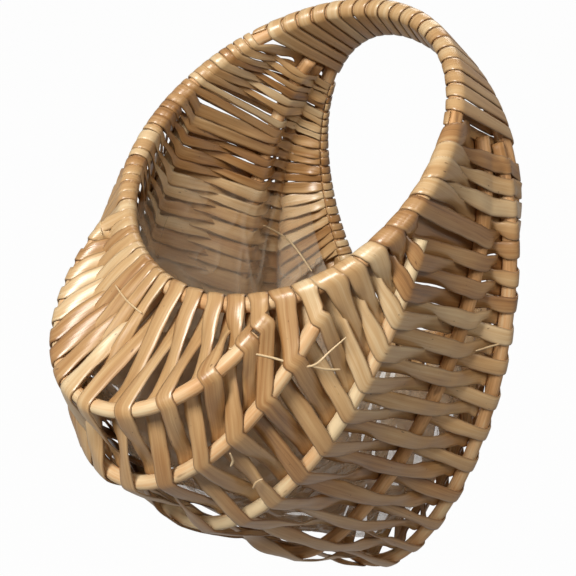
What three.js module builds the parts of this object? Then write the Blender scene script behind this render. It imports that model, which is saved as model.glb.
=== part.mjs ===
// Half-round hanging basket: two bound hoops, ribs, split-cane weavers, handle binding and film liner.
// Millimetres, +Z up, front towards -Y, flat back towards +Y.
import * as THREE from 'three';

// Two hoops, bound side by side at the top to make the handle
const HOOP_DIAMETER = 6.6;
const HOOP_SPACING = 7.4;
const FRONT_LEAN = 58;
const FRONT_HALF_WIDTH = 71.5;
const FRONT_LENGTH = 157;
const FRONT_EGG = -0.07;
const BACK_HALF_WIDTH = 61;
const BACK_TOP = 9;
const BACK_LENGTH = 165;
const BACK_EGG = 0.1;

// Ribs, peeled round rods
const RIB_DIAMETER = 6.4;
const RIB_END_GAP = 10;
const RIB_TRIM = 3.5;

// Three ribs that spring from the front hoop: place on the hoop, lean, bulge and drop
const RIB_1_START = 138.5;
const RIB_1_LEAN = 53;
const RIB_1_BULGE = 1;
const RIB_1_DROP = 64;
const RIB_2_START = 119;
const RIB_2_LEAN = 34;
const RIB_2_BULGE = 0.3;
const RIB_2_DROP = 110;
const RIB_3_START = 78;
const RIB_3_LEAN = 26;
const RIB_3_BULGE = 6.5;
const RIB_3_DROP = 132.5;

// Two long ribs that run from shoulder to shoulder under the belly
const RIB_4_HINGE = -0.5;
const RIB_4_LEAN = 16;
const RIB_4_HALF_WIDTH = 68;
const RIB_4_LENGTH = 268;
const RIB_4_EGG = 0.22;
const RIB_5_HINGE = -0.5;
const RIB_5_LEAN = 4.6;
const RIB_5_HALF_WIDTH = 74;
const RIB_5_LENGTH = 291;
const RIB_5_EGG = 0.155;
const SHOULDER_TIP = 42;

// One rib across the flat back, springing from the back hoop
const RIB_6_START = 118;
const RIB_6_LEAN = 5;
const RIB_6_BULGE = 1.5;
const RIB_6_DROP = 106;
const RIB_6_END_GAP = 12.5;

// Weavers, flat split strips
const WEAVERS = 34;
const STRIP_WIDTH = 8;
const STRIP_THICKNESS = 1;
const STRIP_GAP = 0.35;
const HOOP_WEAVE_START = 61;
const RIB_WEAVE_START = 4;
const FRONT_CROWDING = -0.1;
const BACK_CROWDING = 0;
const RIB_3_CROWDING = -0.25;
const RIB_4_CROWDING = -0.44;
const RIB_5_CROWDING = -0.5;
const FRONT_TURN = 150;
const BACK_TURN = 120;

// Binding wound round the handle
const BINDING_TURNS = 21;
const BINDING_WIDTH = 7.4;
const BINDING_GAP = 0.6;
const BINDING_THICKNESS = 1;
const BINDING_END = 57;

// Clear film liner
const LINER_THICKNESS = 0.8;
const LINER_DRAWN_IN = 0.089;
const LINER_FRONT = 0.05;
const LINER_BACK = 0.05;
const LINER_EDGE_HEIGHT = -113;
const LINER_EDGE_SLOPE = 0.5;

// Colours
const ROD_COLOUR = '#d6ac80';
const STRIP_COLOURS = ['#c9a877', '#d4b688', '#bd9968', '#cfae80'];
const BINDING_COLOUR = '#cba876';
const LINER_COLOUR = '#e6ecec';

const DEG = Math.PI / 180;
const HOOP_R = HOOP_DIAMETER / 2;
const RIB_R = RIB_DIAMETER / 2;
const ROWS = 2 * WEAVERS;
const ROD_SIDES = 6;
const CORNER_STEP = 0.6;
const BINDING_STEPS = 12;
const BEND_LENGTH = 200;
const INSIDE = new THREE.Vector3(0, -70, -120);

// Point on an oval loop that hangs from the top line, angle in degrees from its top round the right side
function loopPoint(loop, angle) {
  const t = angle * DEG;
  const x = loop.half * Math.sin(t) * (1 + loop.egg * Math.cos(t));
  const down = loop.top + (loop.length - loop.top) * (1 - Math.cos(t)) / 2;
  const lean = loop.lean * DEG;
  return new THREE.Vector3(x, loop.hinge - down * Math.sin(lean), -down * Math.cos(lean));
}

// Rod record: dense points from its right end to its left end, with running length
function makeRod(name, order, radius, points, planeNormal, closed) {
  const lengths = [0];
  for (let i = 1; i < points.length; i += 1) {
    lengths.push(lengths[i - 1] + points[i].distanceTo(points[i - 1]));
  }
  return { name, order, radius, points, lengths, total: lengths[lengths.length - 1], planeNormal, closed };
}

// Point and direction at a length along a rod, carried on straight past its ends
function rodAt(rod, s) {
  const last = rod.points.length - 1;
  let i = 1;
  while (i < last && rod.lengths[i] < s) {
    i += 1;
  }
  const a = rod.points[i - 1];
  const b = rod.points[i];
  const u = (s - rod.lengths[i - 1]) / (rod.lengths[i] - rod.lengths[i - 1]);
  const before = rod.points[Math.max(i - 2, 0)];
  const after = rod.points[Math.min(i + 1, last)];
  return { point: a.clone().lerp(b, u), along: after.clone().sub(before).normalize() };
}

function leanNormal(lean) {
  return new THREE.Vector3(0, Math.cos(lean * DEG), -Math.sin(lean * DEG));
}

function loopRod(name, order, radius, loop, tip) {
  const points = [];
  const steps = 360;
  for (let i = 0; i <= steps; i += 1) {
    points.push(loopPoint(loop, tip + (360 - 2 * tip) * i / steps));
  }
  return makeRod(name, order, radius, points, leanNormal(loop.lean), tip === 0);
}

// Shortest distance from a point to a rod's centre line
function distanceToRod(rod, p) {
  return Math.min(...rod.points.map((q) => q.distanceTo(p)));
}

// Rib whose two ends rest against a hoop, an arc of an oval between them
function springRod(name, order, from, start, lean, bulge, drop) {
  const end = loopPoint(from.loop, start);
  const half = end.x + bulge;
  const first = Math.asin(end.x / half);
  const points = [];
  const steps = 240;
  for (let i = 0; i <= steps; i += 1) {
    const a = first + (2 * Math.PI - 2 * first) * i / steps;
    const down = drop * (Math.cos(first) - Math.cos(a));
    const y = end.y - down * Math.sin(lean * DEG);
    const p = new THREE.Vector3(half * Math.sin(a), y, end.z - down * Math.cos(lean * DEG));
    if (distanceToRod(from.hoop, p) > from.endGap) {
      points.push(p);
    }
  }
  return makeRod(name, order, RIB_R, points, leanNormal(lean), false);
}

function loop(lean, half, top, length, egg, hinge) {
  return { lean, half, top, length, egg, hinge };
}

const frontLoop = loop(FRONT_LEAN, FRONT_HALF_WIDTH, 0, FRONT_LENGTH, FRONT_EGG, -HOOP_SPACING / 2);
const backLoop = loop(0, BACK_HALF_WIDTH, BACK_TOP, BACK_LENGTH, BACK_EGG, HOOP_SPACING / 2);
const rib4Loop = loop(RIB_4_LEAN, RIB_4_HALF_WIDTH, BACK_TOP, RIB_4_LENGTH, RIB_4_EGG, RIB_4_HINGE);
const rib5Loop = loop(RIB_5_LEAN, RIB_5_HALF_WIDTH, BACK_TOP, RIB_5_LENGTH, RIB_5_EGG, RIB_5_HINGE);

const frontHoop = loopRod('front_hoop', 0, HOOP_R, frontLoop, 0);
const front = { hoop: frontHoop, loop: frontLoop, endGap: RIB_END_GAP };
const rib1 = springRod('rib_1', 1, front, RIB_1_START, RIB_1_LEAN, RIB_1_BULGE, RIB_1_DROP);
const rib2 = springRod('rib_2', 2, front, RIB_2_START, RIB_2_LEAN, RIB_2_BULGE, RIB_2_DROP);
const rib3 = springRod('rib_3', 3, front, RIB_3_START, RIB_3_LEAN, RIB_3_BULGE, RIB_3_DROP);
const rib4 = loopRod('rib_4', 4, RIB_R, rib4Loop, SHOULDER_TIP);
const rib5 = loopRod('rib_5', 5, RIB_R, rib5Loop, SHOULDER_TIP);
const backHoop = loopRod('back_hoop', 7, HOOP_R, backLoop, 0);
const back = { hoop: backHoop, loop: backLoop, endGap: RIB_6_END_GAP };
const rib6 = springRod('rib_6', 6, back, RIB_6_START, RIB_6_LEAN, RIB_6_BULGE, RIB_6_DROP);
const rods = [frontHoop, rib1, rib2, rib3, rib4, rib5, rib6, backHoop];

// Length along a closed hoop at an angle of its loop
function hoopLength(hoop, angle) {
  const i = angle / 360 * (hoop.points.length - 1);
  const low = Math.min(Math.floor(i), hoop.points.length - 2);
  return hoop.lengths[low] + (hoop.lengths[low + 1] - hoop.lengths[low]) * (i - low);
}

// Woven stretch of each rod, the share of the rows that reach it, and how they crowd to its middle
function stretch(rod, from, share, crowding) {
  rod.from = from;
  rod.share = share;
  rod.crowding = crowding;
}

const frontFrom = hoopLength(frontHoop, HOOP_WEAVE_START);
const backFrom = hoopLength(backHoop, HOOP_WEAVE_START);
function shareOf(hoop, from, rib, crowding) {
  const tip = rib.points[0];
  let nearest = 0;
  hoop.points.forEach((p, i) => {
    if (p.distanceTo(tip) < hoop.points[nearest].distanceTo(tip)) {
      nearest = i;
    }
  });
  const g = (hoop.lengths[nearest] - from) / (hoop.total - 2 * from);
  let f = g;
  for (let i = 0; i < 20; i += 1) {
    f = g - crowding * Math.sin(2 * Math.PI * f) / (2 * Math.PI);
  }
  return f;
}
stretch(frontHoop, frontFrom, 0, FRONT_CROWDING);
stretch(rib1, 0, shareOf(frontHoop, frontFrom, rib1, FRONT_CROWDING), 0);
stretch(rib2, 0, shareOf(frontHoop, frontFrom, rib2, FRONT_CROWDING), 0);
stretch(rib3, 0, shareOf(frontHoop, frontFrom, rib3, FRONT_CROWDING), RIB_3_CROWDING);
stretch(rib4, RIB_WEAVE_START, 0, RIB_4_CROWDING);
stretch(rib5, RIB_WEAVE_START, 0, RIB_5_CROWDING);
stretch(rib6, 0, shareOf(backHoop, backFrom, rib6, BACK_CROWDING), 0);
stretch(backHoop, backFrom, 0, BACK_CROWDING);

// Crossings of one row, from the front hoop to the back hoop, f from 0 at the right shoulder to 1 at the left
function crossings(f) {
  const list = [];
  const margin = 0.75 / ROWS;
  for (const rod of rods) {
    if (f < rod.share - margin || f > 1 - rod.share + margin) {
      continue;
    }
    let g = (f - rod.share) / (1 - 2 * rod.share);
    g += rod.crowding * Math.sin(2 * Math.PI * g) / (2 * Math.PI);
    const s = rod.from + g * (rod.total - 2 * rod.from);
    list.push({ rod, ...rodAt(rod, s) });
  }
  return list;
}

// Outward normal across a span at a crossing
function outward(crossing, span) {
  const n = crossing.along.clone().cross(span).normalize();
  if (n.dot(crossing.point.clone().sub(INSIDE)) < 0) {
    n.negate();
  }
  return n;
}

// Over or under each rod in turn, and on the same side of two rods that lie close together
function giveSides(row, list) {
  const close = 2.2 * RIB_DIAMETER;
  list.forEach((c) => {
    c.sign = (row + c.rod.order) % 2 === 0 ? 1 : -1;
  });
  for (let i = 1; i < list.length && list[i].rod.order < 4; i += 1) {
    if (list[i].point.distanceTo(list[i - 1].point) < close) {
      list[i].sign = list[i - 1].sign;
    }
  }
  for (let i = list.length - 2; i > 0 && list[i].rod.order > 3; i -= 1) {
    if (list[i].point.distanceTo(list[i + 1].point) < close) {
      list[i].sign = list[i + 1].sign;
    }
  }
}

// Clear width from a place on a row to the rows beside it
function roomBeside(rows, here) {
  const chord = new THREE.Line3();
  const foot = new THREE.Vector3();
  let room = STRIP_WIDTH;
  for (const row of rows) {
    for (let i = 1; i < row.length; i += 1) {
      chord.set(row[i - 1].point, row[i].point).closestPointToPoint(here, true, foot);
      room = Math.min(room, foot.distanceTo(here) - 2 * STRIP_GAP);
    }
  }
  return room;
}

// Centre line of one row: straight between the rods, bent round the outside of each corner
function rowPath(row) {
  const f = (row + 0.5) / ROWS;
  const list = crossings(f);
  giveSides(row, list);
  const beside = [crossings(f - 1 / ROWS), crossings(f + 1 / ROWS)];
  const path = [];
  const count = list.length;
  for (let i = 0; i < count; i += 1) {
    const c = list[i];
    const before = i > 0 ? c.point.clone().sub(list[i - 1].point) : null;
    const after = i < count - 1 ? list[i + 1].point.clone().sub(c.point) : null;
    const na = outward(c, before || after);
    const nb = outward(c, after || before);
    const h = c.rod.radius + STRIP_GAP + STRIP_THICKNESS / 2;
    const turn = na.angleTo(nb);
    const convex = after !== null && na.dot(after) < 0;
    const width = Math.min(STRIP_WIDTH, 2 * roomBeside(beside, c.point));
    const bends = before && after && convex === (c.sign > 0) ? Math.ceil(turn / CORNER_STEP) : 0;
    const reach = bends > 0 ? h / Math.cos(turn / bends / 2) : h;
    for (let k = 0; k <= bends; k += 1) {
      const u = bends > 0 ? k / bends : 0.5;
      const n = na.clone().multiplyScalar(1 - u).addScaledVector(nb, u).normalize();
      path.push({ at: c.point.clone().addScaledVector(n, c.sign * reach), along: c.along, width });
    }
    if (i < count - 1) {
      const d = list[i + 1];
      const dn = outward(d, after);
      const hd = d.rod.radius + STRIP_GAP + STRIP_THICKNESS / 2;
      const shares = c.sign !== d.sign && after.length() < 30 ? [0.25, 0.5, 0.75] : [0.5];
      for (const u of shares) {
        const k = (1 + Math.cos(Math.PI * u)) / 2;
        const base = c.point.clone().lerp(d.point, u);
        const room = roomBeside(beside, base);
        base.addScaledVector(nb, c.sign * h * k).addScaledVector(dn, d.sign * hd * (1 - k));
        const along = c.along.clone().lerp(d.along, u).normalize();
        path.push({ at: base, along, width: Math.min(width, room) });
      }
    }
  }
  return { path, first: list[0], last: list[count - 1], second: list[1], beforeLast: list[count - 2] };
}

// Half turn round a hoop from one row's outside to the next row's inside
function hoopTurn(a, aNext, b, bNext, width, stop) {
  const h = (a.rod.radius + STRIP_GAP + STRIP_THICKNESS / 2) / Math.cos(18 * DEG);
  const frame = (c, next) => {
    const span = next.point.clone().sub(c.point);
    const n = outward(c, span);
    const m = n.clone().cross(c.along).normalize();
    if (m.dot(span) > 0) {
      m.negate();
    }
    return { n, m };
  };
  const fa = frame(a, aNext);
  const fb = frame(b, bNext);
  const points = [];
  for (let angle = 36; angle <= stop; angle += 36) {
    const u = angle / 180;
    const n = fa.n.clone().lerp(fb.n, u).normalize();
    const m = fa.m.clone().lerp(fb.m, u).normalize();
    const at = a.point.clone().lerp(b.point, u);
    at.addScaledVector(n, h * Math.cos(angle * DEG)).addScaledVector(m, h * Math.sin(angle * DEG));
    points.push({ at, along: a.along.clone().lerp(b.along, u).normalize(), width });
  }
  return points;
}

// Solid from cross sections, turned to face outwards
function sweep(sections, closed) {
  const m = sections[0].length;
  const count = sections.length;
  const positions = [];
  const index = [];
  sections.flat().forEach((p) => positions.push(p.x, p.y, p.z));
  const spans = closed ? count : count - 1;
  for (let i = 0; i < spans; i += 1) {
    const next = (i + 1) % count;
    for (let j = 0; j < m; j += 1) {
      const k = (j + 1) % m;
      index.push(i * m + j, i * m + k, next * m + k);
      index.push(i * m + j, next * m + k, next * m + j);
    }
  }
  if (!closed) {
    for (let j = 1; j < m - 1; j += 1) {
      index.push(0, j + 1, j);
      index.push((count - 1) * m, (count - 1) * m + j, (count - 1) * m + j + 1);
    }
  }
  return closedGeometry(positions, index);
}

function closedGeometry(positions, index) {
  const p = (i) => new THREE.Vector3(positions[3 * i], positions[3 * i + 1], positions[3 * i + 2]);
  let volume = 0;
  for (let i = 0; i < index.length; i += 3) {
    volume += p(index[i]).dot(p(index[i + 1]).cross(p(index[i + 2])));
  }
  if (volume < 0) {
    for (let i = 0; i < index.length; i += 3) {
      [index[i + 1], index[i + 2]] = [index[i + 2], index[i + 1]];
    }
  }
  const geometry = new THREE.BufferGeometry();
  geometry.setAttribute('position', new THREE.Float32BufferAttribute(positions, 3));
  geometry.setIndex(index);
  geometry.computeVertexNormals();
  return geometry;
}

// Round rod in its own plane, with more sections where it bends more
function rodGeometry(rod, steps) {
  const trim = rod.closed ? 0 : RIB_TRIM;
  const lengths = [trim, ...rod.lengths.filter((s) => s > trim && s < rod.total - trim), rod.total - trim];
  const weights = [0];
  for (let i = 1; i < lengths.length; i += 1) {
    const bend = rodAt(rod, lengths[i - 1]).along.angleTo(rodAt(rod, lengths[i]).along);
    weights.push(weights[i - 1] + (lengths[i] - lengths[i - 1]) / BEND_LENGTH + bend);
  }
  const sections = [];
  const count = rod.closed ? steps : steps + 1;
  let k = 1;
  for (let i = 0; i < count; i += 1) {
    const w = weights[weights.length - 1] * i / steps;
    while (k < weights.length - 1 && weights[k] < w) {
      k += 1;
    }
    const u = (w - weights[k - 1]) / (weights[k] - weights[k - 1]);
    const { point, along } = rodAt(rod, lengths[k - 1] + (lengths[k] - lengths[k - 1]) * u);
    const side = rod.planeNormal.clone().cross(along).normalize();
    const ring = [];
    for (let j = 0; j < ROD_SIDES; j += 1) {
      const a = (j + 0.5) / ROD_SIDES * 2 * Math.PI;
      const p = point.clone().addScaledVector(side, rod.radius * Math.cos(a));
      ring.push(p.addScaledVector(rod.planeNormal, rod.radius * Math.sin(a)));
    }
    sections.push(ring);
  }
  return sweep(sections, rod.closed);
}

// Flat strip along a path of points with a width direction each
function stripGeometry(path, thickness) {
  const sections = path.map((p, i) => {
    const a = path[Math.max(i - 1, 0)].at;
    const b = path[Math.min(i + 1, path.length - 1)].at;
    const dir = b.clone().sub(a).normalize();
    const wide = p.along;
    const thick = dir.clone().cross(wide).normalize();
    const corner = (u, v) => {
      const q = p.at.clone().addScaledVector(wide, u * p.width / 2);
      return q.addScaledVector(thick, v * thickness / 2);
    };
    return [corner(-1, -1), corner(1, -1), corner(1, 1), corner(-1, 1)];
  });
  return sweep(sections, false);
}

// One weaver: in along one row, round the front hoop, back along the next, and round the back hoop
function weaverPath(k) {
  const go = rowPath(2 * k);
  const back = rowPath(2 * k + 1);
  const path = [...go.path].reverse();
  path.push(...hoopTurn(go.first, go.second, back.first, back.second, go.path[0].width, FRONT_TURN));
  path.push(...back.path);
  if (k < WEAVERS - 1) {
    const next = rowPath(2 * k + 2);
    const width = back.path[back.path.length - 1].width;
    path.push(...hoopTurn(back.last, back.beforeLast, next.last, next.beforeLast, width, BACK_TURN));
  }
  return path;
}

// Binding wound round both hoops from shoulder to shoulder
function bindingPath() {
  const path = [];
  const steps = BINDING_TURNS * BINDING_STEPS;
  const inner = STRIP_GAP + BINDING_THICKNESS / 2 + 0.45;
  for (let i = 0; i <= steps; i += 1) {
    const angle = ((-1 + 2 * i / steps) * BINDING_END + 360) % 360;
    const f = rodAt(frontHoop, hoopLength(frontHoop, angle));
    const b = rodAt(backHoop, hoopLength(backHoop, angle));
    const middle = f.point.clone().add(b.point).multiplyScalar(0.5);
    const along = f.along.clone().add(b.along).normalize();
    const across = f.point.clone().sub(b.point);
    across.addScaledVector(along, -across.dot(along)).normalize();
    const up = across.clone().cross(along).normalize();
    const a = 2 * Math.PI * i / BINDING_STEPS;
    const n = across.clone().multiplyScalar(Math.cos(a)).addScaledVector(up, Math.sin(a));
    let best = null;
    for (const h of [f, b]) {
      const tilt = n.dot(h.along);
      const reach = (HOOP_R + inner) / Math.sqrt(1 - tilt * tilt);
      const far = h.point.clone().sub(middle).dot(n) + reach;
      if (best === null || far > best.far) {
        best = { far, at: h.point.clone().addScaledVector(n, reach), along: h.along };
      }
    }
    path.push({ at: best.at, along: best.along, room: 0, width: 0 });
  }
  path.forEach((p, i) => {
    p.room = toNextTurn(path, i);
    p.width = Math.min(BINDING_WIDTH, p.room - BINDING_GAP);
  });
  return path;
}

// Distance from one point of the binding to the turns beside it
function toNextTurn(path, i) {
  const line = new THREE.Line3();
  const foot = new THREE.Vector3();
  const from = Math.round(BINDING_STEPS / 2);
  let least = Infinity;
  for (let j = 0; j < path.length - 1; j += 1) {
    const apart = Math.abs(j - i);
    if (apart >= from && apart < 2 * BINDING_STEPS) {
      line.set(path[j].at, path[j + 1].at).closestPointToPoint(path[i].at, true, foot);
      least = Math.min(least, foot.distanceTo(path[i].at));
    }
  }
  return least;
}

// Point on the surface of the rods: f across the basket, u from the front hoop to the back hoop
function surfacePoint(f, u) {
  const list = crossings(f);
  const lengths = [0];
  for (let k = 1; k < list.length; k += 1) {
    lengths.push(lengths[k - 1] + list[k].point.distanceTo(list[k - 1].point));
  }
  const s = u * lengths[list.length - 1];
  let k = 1;
  while (k < list.length - 1 && lengths[k] < s) {
    k += 1;
  }
  const share = (s - lengths[k - 1]) / (lengths[k] - lengths[k - 1]);
  return list[k - 1].point.clone().lerp(list[k].point, share);
}

// Where the film's upper edge crosses the surface, found by halving
function filmEdge(u) {
  let high = 0;
  let low = 0.5;
  for (let i = 0; i < 24; i += 1) {
    const f = (high + low) / 2;
    const p = surfacePoint(f, u);
    if (p.z > LINER_EDGE_HEIGHT - LINER_EDGE_SLOPE * p.y) {
      high = f;
    } else {
      low = f;
    }
  }
  return low;
}

// Film liner: a thin bowl, the shape of the rods drawn in towards the middle of the basket
function linerGeometry() {
  const acrossSteps = 14;
  const alongSteps = 22;
  const us = [];
  for (let j = 0; j <= acrossSteps; j += 1) {
    us.push(LINER_FRONT + (1 - LINER_BACK - LINER_FRONT) * j / acrossSteps);
  }
  const edges = us.map(filmEdge);
  const grid = [];
  for (let i = 0; i <= alongSteps; i += 1) {
    grid.push(us.map((u, j) => surfacePoint(edges[j] + (1 - 2 * edges[j]) * i / alongSteps, u)));
  }
  const positions = [];
  const layer = (d) => {
    for (let i = 0; i <= alongSteps; i += 1) {
      for (let j = 0; j <= acrossSteps; j += 1) {
        const p = grid[i][j].clone().lerp(INSIDE, d);
        positions.push(p.x, p.y, p.z);
      }
    }
  };
  layer(LINER_DRAWN_IN);
  layer(LINER_DRAWN_IN + LINER_THICKNESS / 75);
  const wide = acrossSteps + 1;
  const total = wide * (alongSteps + 1);
  const index = [];
  for (let i = 0; i < alongSteps; i += 1) {
    for (let j = 0; j < acrossSteps; j += 1) {
      const a = i * wide + j;
      index.push(a, a + 1, a + wide + 1, a, a + wide + 1, a + wide);
      const b = total + a;
      index.push(b, b + wide + 1, b + 1, b, b + wide, b + wide + 1);
    }
  }
  const edge = [];
  for (let j = 0; j < acrossSteps; j += 1) {
    edge.push(j);
  }
  for (let i = 0; i < alongSteps; i += 1) {
    edge.push(i * wide + acrossSteps);
  }
  for (let j = acrossSteps; j > 0; j -= 1) {
    edge.push(alongSteps * wide + j);
  }
  for (let i = alongSteps; i > 0; i -= 1) {
    edge.push(i * wide);
  }
  edge.forEach((a, i) => {
    const b = edge[(i + 1) % edge.length];
    index.push(a, total + b, b, a, total + a, total + b);
  });
  return closedGeometry(positions, index);
}

const group = new THREE.Group();
group.name = 'half_round_basket';

function addPart(name, geometry, colour, roughness) {
  const material = new THREE.MeshStandardMaterial({ color: colour, roughness, metalness: 0 });
  const mesh = new THREE.Mesh(geometry, material);
  mesh.name = name;
  group.add(mesh);
}

for (const rod of rods) {
  addPart(rod.name, rodGeometry(rod, rod.closed ? 48 : 40), ROD_COLOUR, 0.6);
}
for (let k = 0; k < WEAVERS; k += 1) {
  const name = `weaver_${String(k + 1).padStart(2, '0')}`;
  addPart(name, stripGeometry(weaverPath(k), STRIP_THICKNESS), STRIP_COLOURS[k % STRIP_COLOURS.length], 0.5);
}
const binding = bindingPath();
const turnGap = Math.min(...binding.map((p) => p.room - p.width));
console.log('least gap between binding turns, mm', turnGap.toFixed(2));
addPart('handle_binding', stripGeometry(binding, BINDING_THICKNESS), BINDING_COLOUR, 0.45);
addPart('liner', linerGeometry(), LINER_COLOUR, 0.2);

// Origin at the middle of the foot of the whole basket
const box = new THREE.Box3().setFromObject(group);
const foot = new THREE.Vector3((box.min.x + box.max.x) / 2, (box.min.y + box.max.y) / 2, box.min.z);
group.position.sub(foot);

export default group;
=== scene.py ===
"""Half-round hanging basket: peeled rods, woven split strips, a bound handle and a clear film liner."""

import bisect
import math
import random

import bmesh
import bpy
from bpy.props import FloatProperty, FloatVectorProperty, IntProperty, PointerProperty
from bpy.types import Operator, Panel, PropertyGroup
from mathutils import Matrix, Vector, noise


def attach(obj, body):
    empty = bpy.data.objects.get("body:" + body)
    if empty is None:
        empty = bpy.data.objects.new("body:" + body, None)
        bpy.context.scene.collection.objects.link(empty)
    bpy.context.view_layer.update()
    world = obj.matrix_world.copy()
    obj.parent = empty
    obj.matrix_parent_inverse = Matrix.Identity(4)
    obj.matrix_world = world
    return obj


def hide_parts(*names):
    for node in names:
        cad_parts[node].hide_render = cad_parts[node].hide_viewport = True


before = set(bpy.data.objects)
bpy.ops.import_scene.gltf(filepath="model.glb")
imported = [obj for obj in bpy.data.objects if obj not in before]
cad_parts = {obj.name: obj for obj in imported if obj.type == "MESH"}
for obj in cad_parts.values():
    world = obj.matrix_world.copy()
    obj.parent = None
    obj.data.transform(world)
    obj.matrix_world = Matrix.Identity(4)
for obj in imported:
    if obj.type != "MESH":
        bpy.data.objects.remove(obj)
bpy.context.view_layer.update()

bl_info = {
    "name": "Half-Round Basket",
    "version": (1, 0, 0),
    "blender": (4, 5, 0),
    "location": "View3D > Sidebar > Basket",
    "description": "Dresses the packed frame of a half-round hanging basket",
    "category": "Object",
}

MM = 0.001
DEG = math.pi / 180

# Top of the two hoops, where the frame's formulas start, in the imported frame, mm
HANGER = Vector((0.01, 88.6, 294.89))

# A place inside the bowl, from there
INSIDE = Vector((0, -70, -120))

# Hoops: lean from upright, half width, top, length, egg shape and hinge, mm and degrees
FRONT_LOOP = (58, 71.5, 0, 157, -0.07, -3.7)
BACK_LOOP = (0, 61, 9, 165, 0.1, 3.7)
RIB_4_LOOP = (16, 68, 3, 268, 0.22, -0.5)
RIB_5_LOOP = (4.6, 74, 3, 291, 0.155, -0.5)
SHOULDER_TIP = 42

# Sprung ribs: place on the hoop, lean, bulge and drop, degrees and mm
RIB_1_ARC = (138.5, 53, 1, 64)
RIB_2_ARC = (119, 34, 0.3, 110)
RIB_3_ARC = (78, 26, 6.5, 132.5)
RIB_6_ARC = (118, 5, 1.5, 106)
RIB_END_GAP = 10
RIB_6_END_GAP = 12.5
RIB_TRIM = 3.5
RIB_POINTS = 240

# Where the weave starts: on the hoops, degrees, and on the two long ribs, mm
HOOP_WEAVE_START = 61
RIB_WEAVE_START = 4

# Rows lie closer at a rod's ends and wider at its middle, the further these are below 0
FRONT_CROWDING = -0.1
RIB_3_CROWDING = -0.25
RIB_4_CROWDING = -0.44
RIB_5_CROWDING = -0.5
CROWDING_ROUNDS = 20

# Share of a row past a rib's tips where rows still cross it
TIP_MARGIN = 0.75

# Two rods nearer than so many diameters are passed on the same side
SAME_SIDE_WITHIN = 2.2

# From this weaver on, counted from 0, each shows as two strips, narrower and less even than a single one
CLOSE_FROM = 17
CLOSE_WIDTH = 0.86
CLOSE_STRAY = 1.8

# Strips lie like shingles on the left: shares of the way across where that sets in and where it ends
SHINGLE_START = (0.46, 0.58)
SHINGLE_END = (0.7, 0.8)

# Shingled strips: how much broader they are, how much narrower on a rib, and how they overlap and tilt
SHINGLE_BROADER = 0.75
SHINGLE_THINNING = 1.15
SHINGLE_NARROWING = 0.42
CLOSE_NARROWING = 0.12
SHINGLE_OVERLAP = 0.5
SHINGLE_FLATTENING = 0.75
SHINGLE_TILT = 0.2
CLOSE_SPREAD = 2.3

# A row on its way over the rods, mm and radians
STRIP_CLEARANCE = 0.05
ROW_GAP = 0.6
SHOULDER_LIFT = 2.6
BEND_STEP = 0.5
SHORT_SPAN = 30
SHORT_SPAN_STOPS = (0.25, 0.5, 0.75)
LONG_SPAN_STOPS = (0.2, 0.5, 0.8)

# A strip's widest, as shares of the distance to the rows beside it: between rods, at them and overlapping
CROSSED_SPREAD = 1.08
FULL_SPREAD = 2
OVERLAP = 1.15

# Strips with room beside them bow and tilt: room as a share of the width, mm and radians
FREE_ROOM = (0.75, 1.4)
FREE_BOW = 2.2
FREE_TILT = 0.9

# Turns of a strip round the hoops, degrees, and how much of the room along the hoop they take up at the sides
TURN_STEP = 30
FRONT_TURN_STOP = 165
BACK_TURN_STOP = 173
TURN_SHARE = 0.96
TURN_BROADENS = (0.1, 0.2)

# Handle binding: its ends on the hoops, degrees, its lift and gap, mm, and its width as a share of the room
BINDING_END = 57
BINDING_LIFT = 0.1
BINDING_GAP = 0.25
BINDING_SHARE = 0.95
BINDING_UNEVEN = 0.09
BINDING_TONE = 0.55
BINDING_SEED = 77

# Distance between the sections of a piece, mm
STRIP_STEP = 1.7
BINDING_STEP = 1.4
FIBRE_STEP = 1.5
ROD_STEP = 2.5

# How strips differ from each other, as shares, and how pale they are
WIDTH_RANGE = (0.92, 1.06)
THICKNESS_RANGE = (0.9, 1.15)
TONE_RANGE = (0.1, 0.85)
WEAVER_SEED = 41
STRIP_SEED_STEP = 50

# How far a strip's width is turned square to its run, from 0 to 1
SQUARING = 0.25

# How one strip varies along its length: shares of its width, and radians that it rolls
WIDTH_UNEVEN = 0.05
EDGE_UNEVEN = 0.06
ROLL = 0.08
FREE_ROLL = 1.5
CUP_DEPTH = 0.42
LEAST_SLANT = 0.6
SLANT_POWER = 0.6

# Length that sets the grain of one piece apart from the next, mm
STRIP_GRAIN_APART = 97.0
ROD_GRAIN_APART = 611.0
FIBRE_GRAIN_APART = 53.0

# Loose fibres: height over the surface, and places on it as shares across and from front to back
FIBRES = (
    (4.6, ((0.39, 0.058), (0.355, 0.083), (0.3225, 0.133), (0.305, 0.133), (0.29, 0.133))),
    (4.6, ((0.3225, 0.133), (0.315, 0.158), (0.305, 0.183))),
    (4.8, ((0.5475, 0.03), (0.5225, 0.03), (0.4975, 0.03))),
    (-10.8, ((0.7675, 0.7), (0.74, 0.85), (0.6875, 0.908))),
    (4.4, ((0.3975, 0.208), (0.4, 0.225), (0.404, 0.233))),
    (4.4, ((0.405, 0.292), (0.4, 0.283), (0.395, 0.283))),
    (4.8, ((0.245, 0.667), (0.24, 0.717), (0.235, 0.775))),
    (4.6, ((0.672, 0.067), (0.65, 0.055), (0.64, 0.033), (0.62, 0.03))),
)
FIBRE_RADIUS = 0.33
FIBRE_TIP = 0.45
FIBRE_FLATNESS = 1.6

# Share of the white background that shows in reflections
GLOSSY_SHARE = 0.3

# How pale each rod is, from the front hoop to the back hoop
ROD_TONES = (0.45, 0.6, 0.7, 0.85, 0.3, 0.45, 0.5, 0.5)

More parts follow.
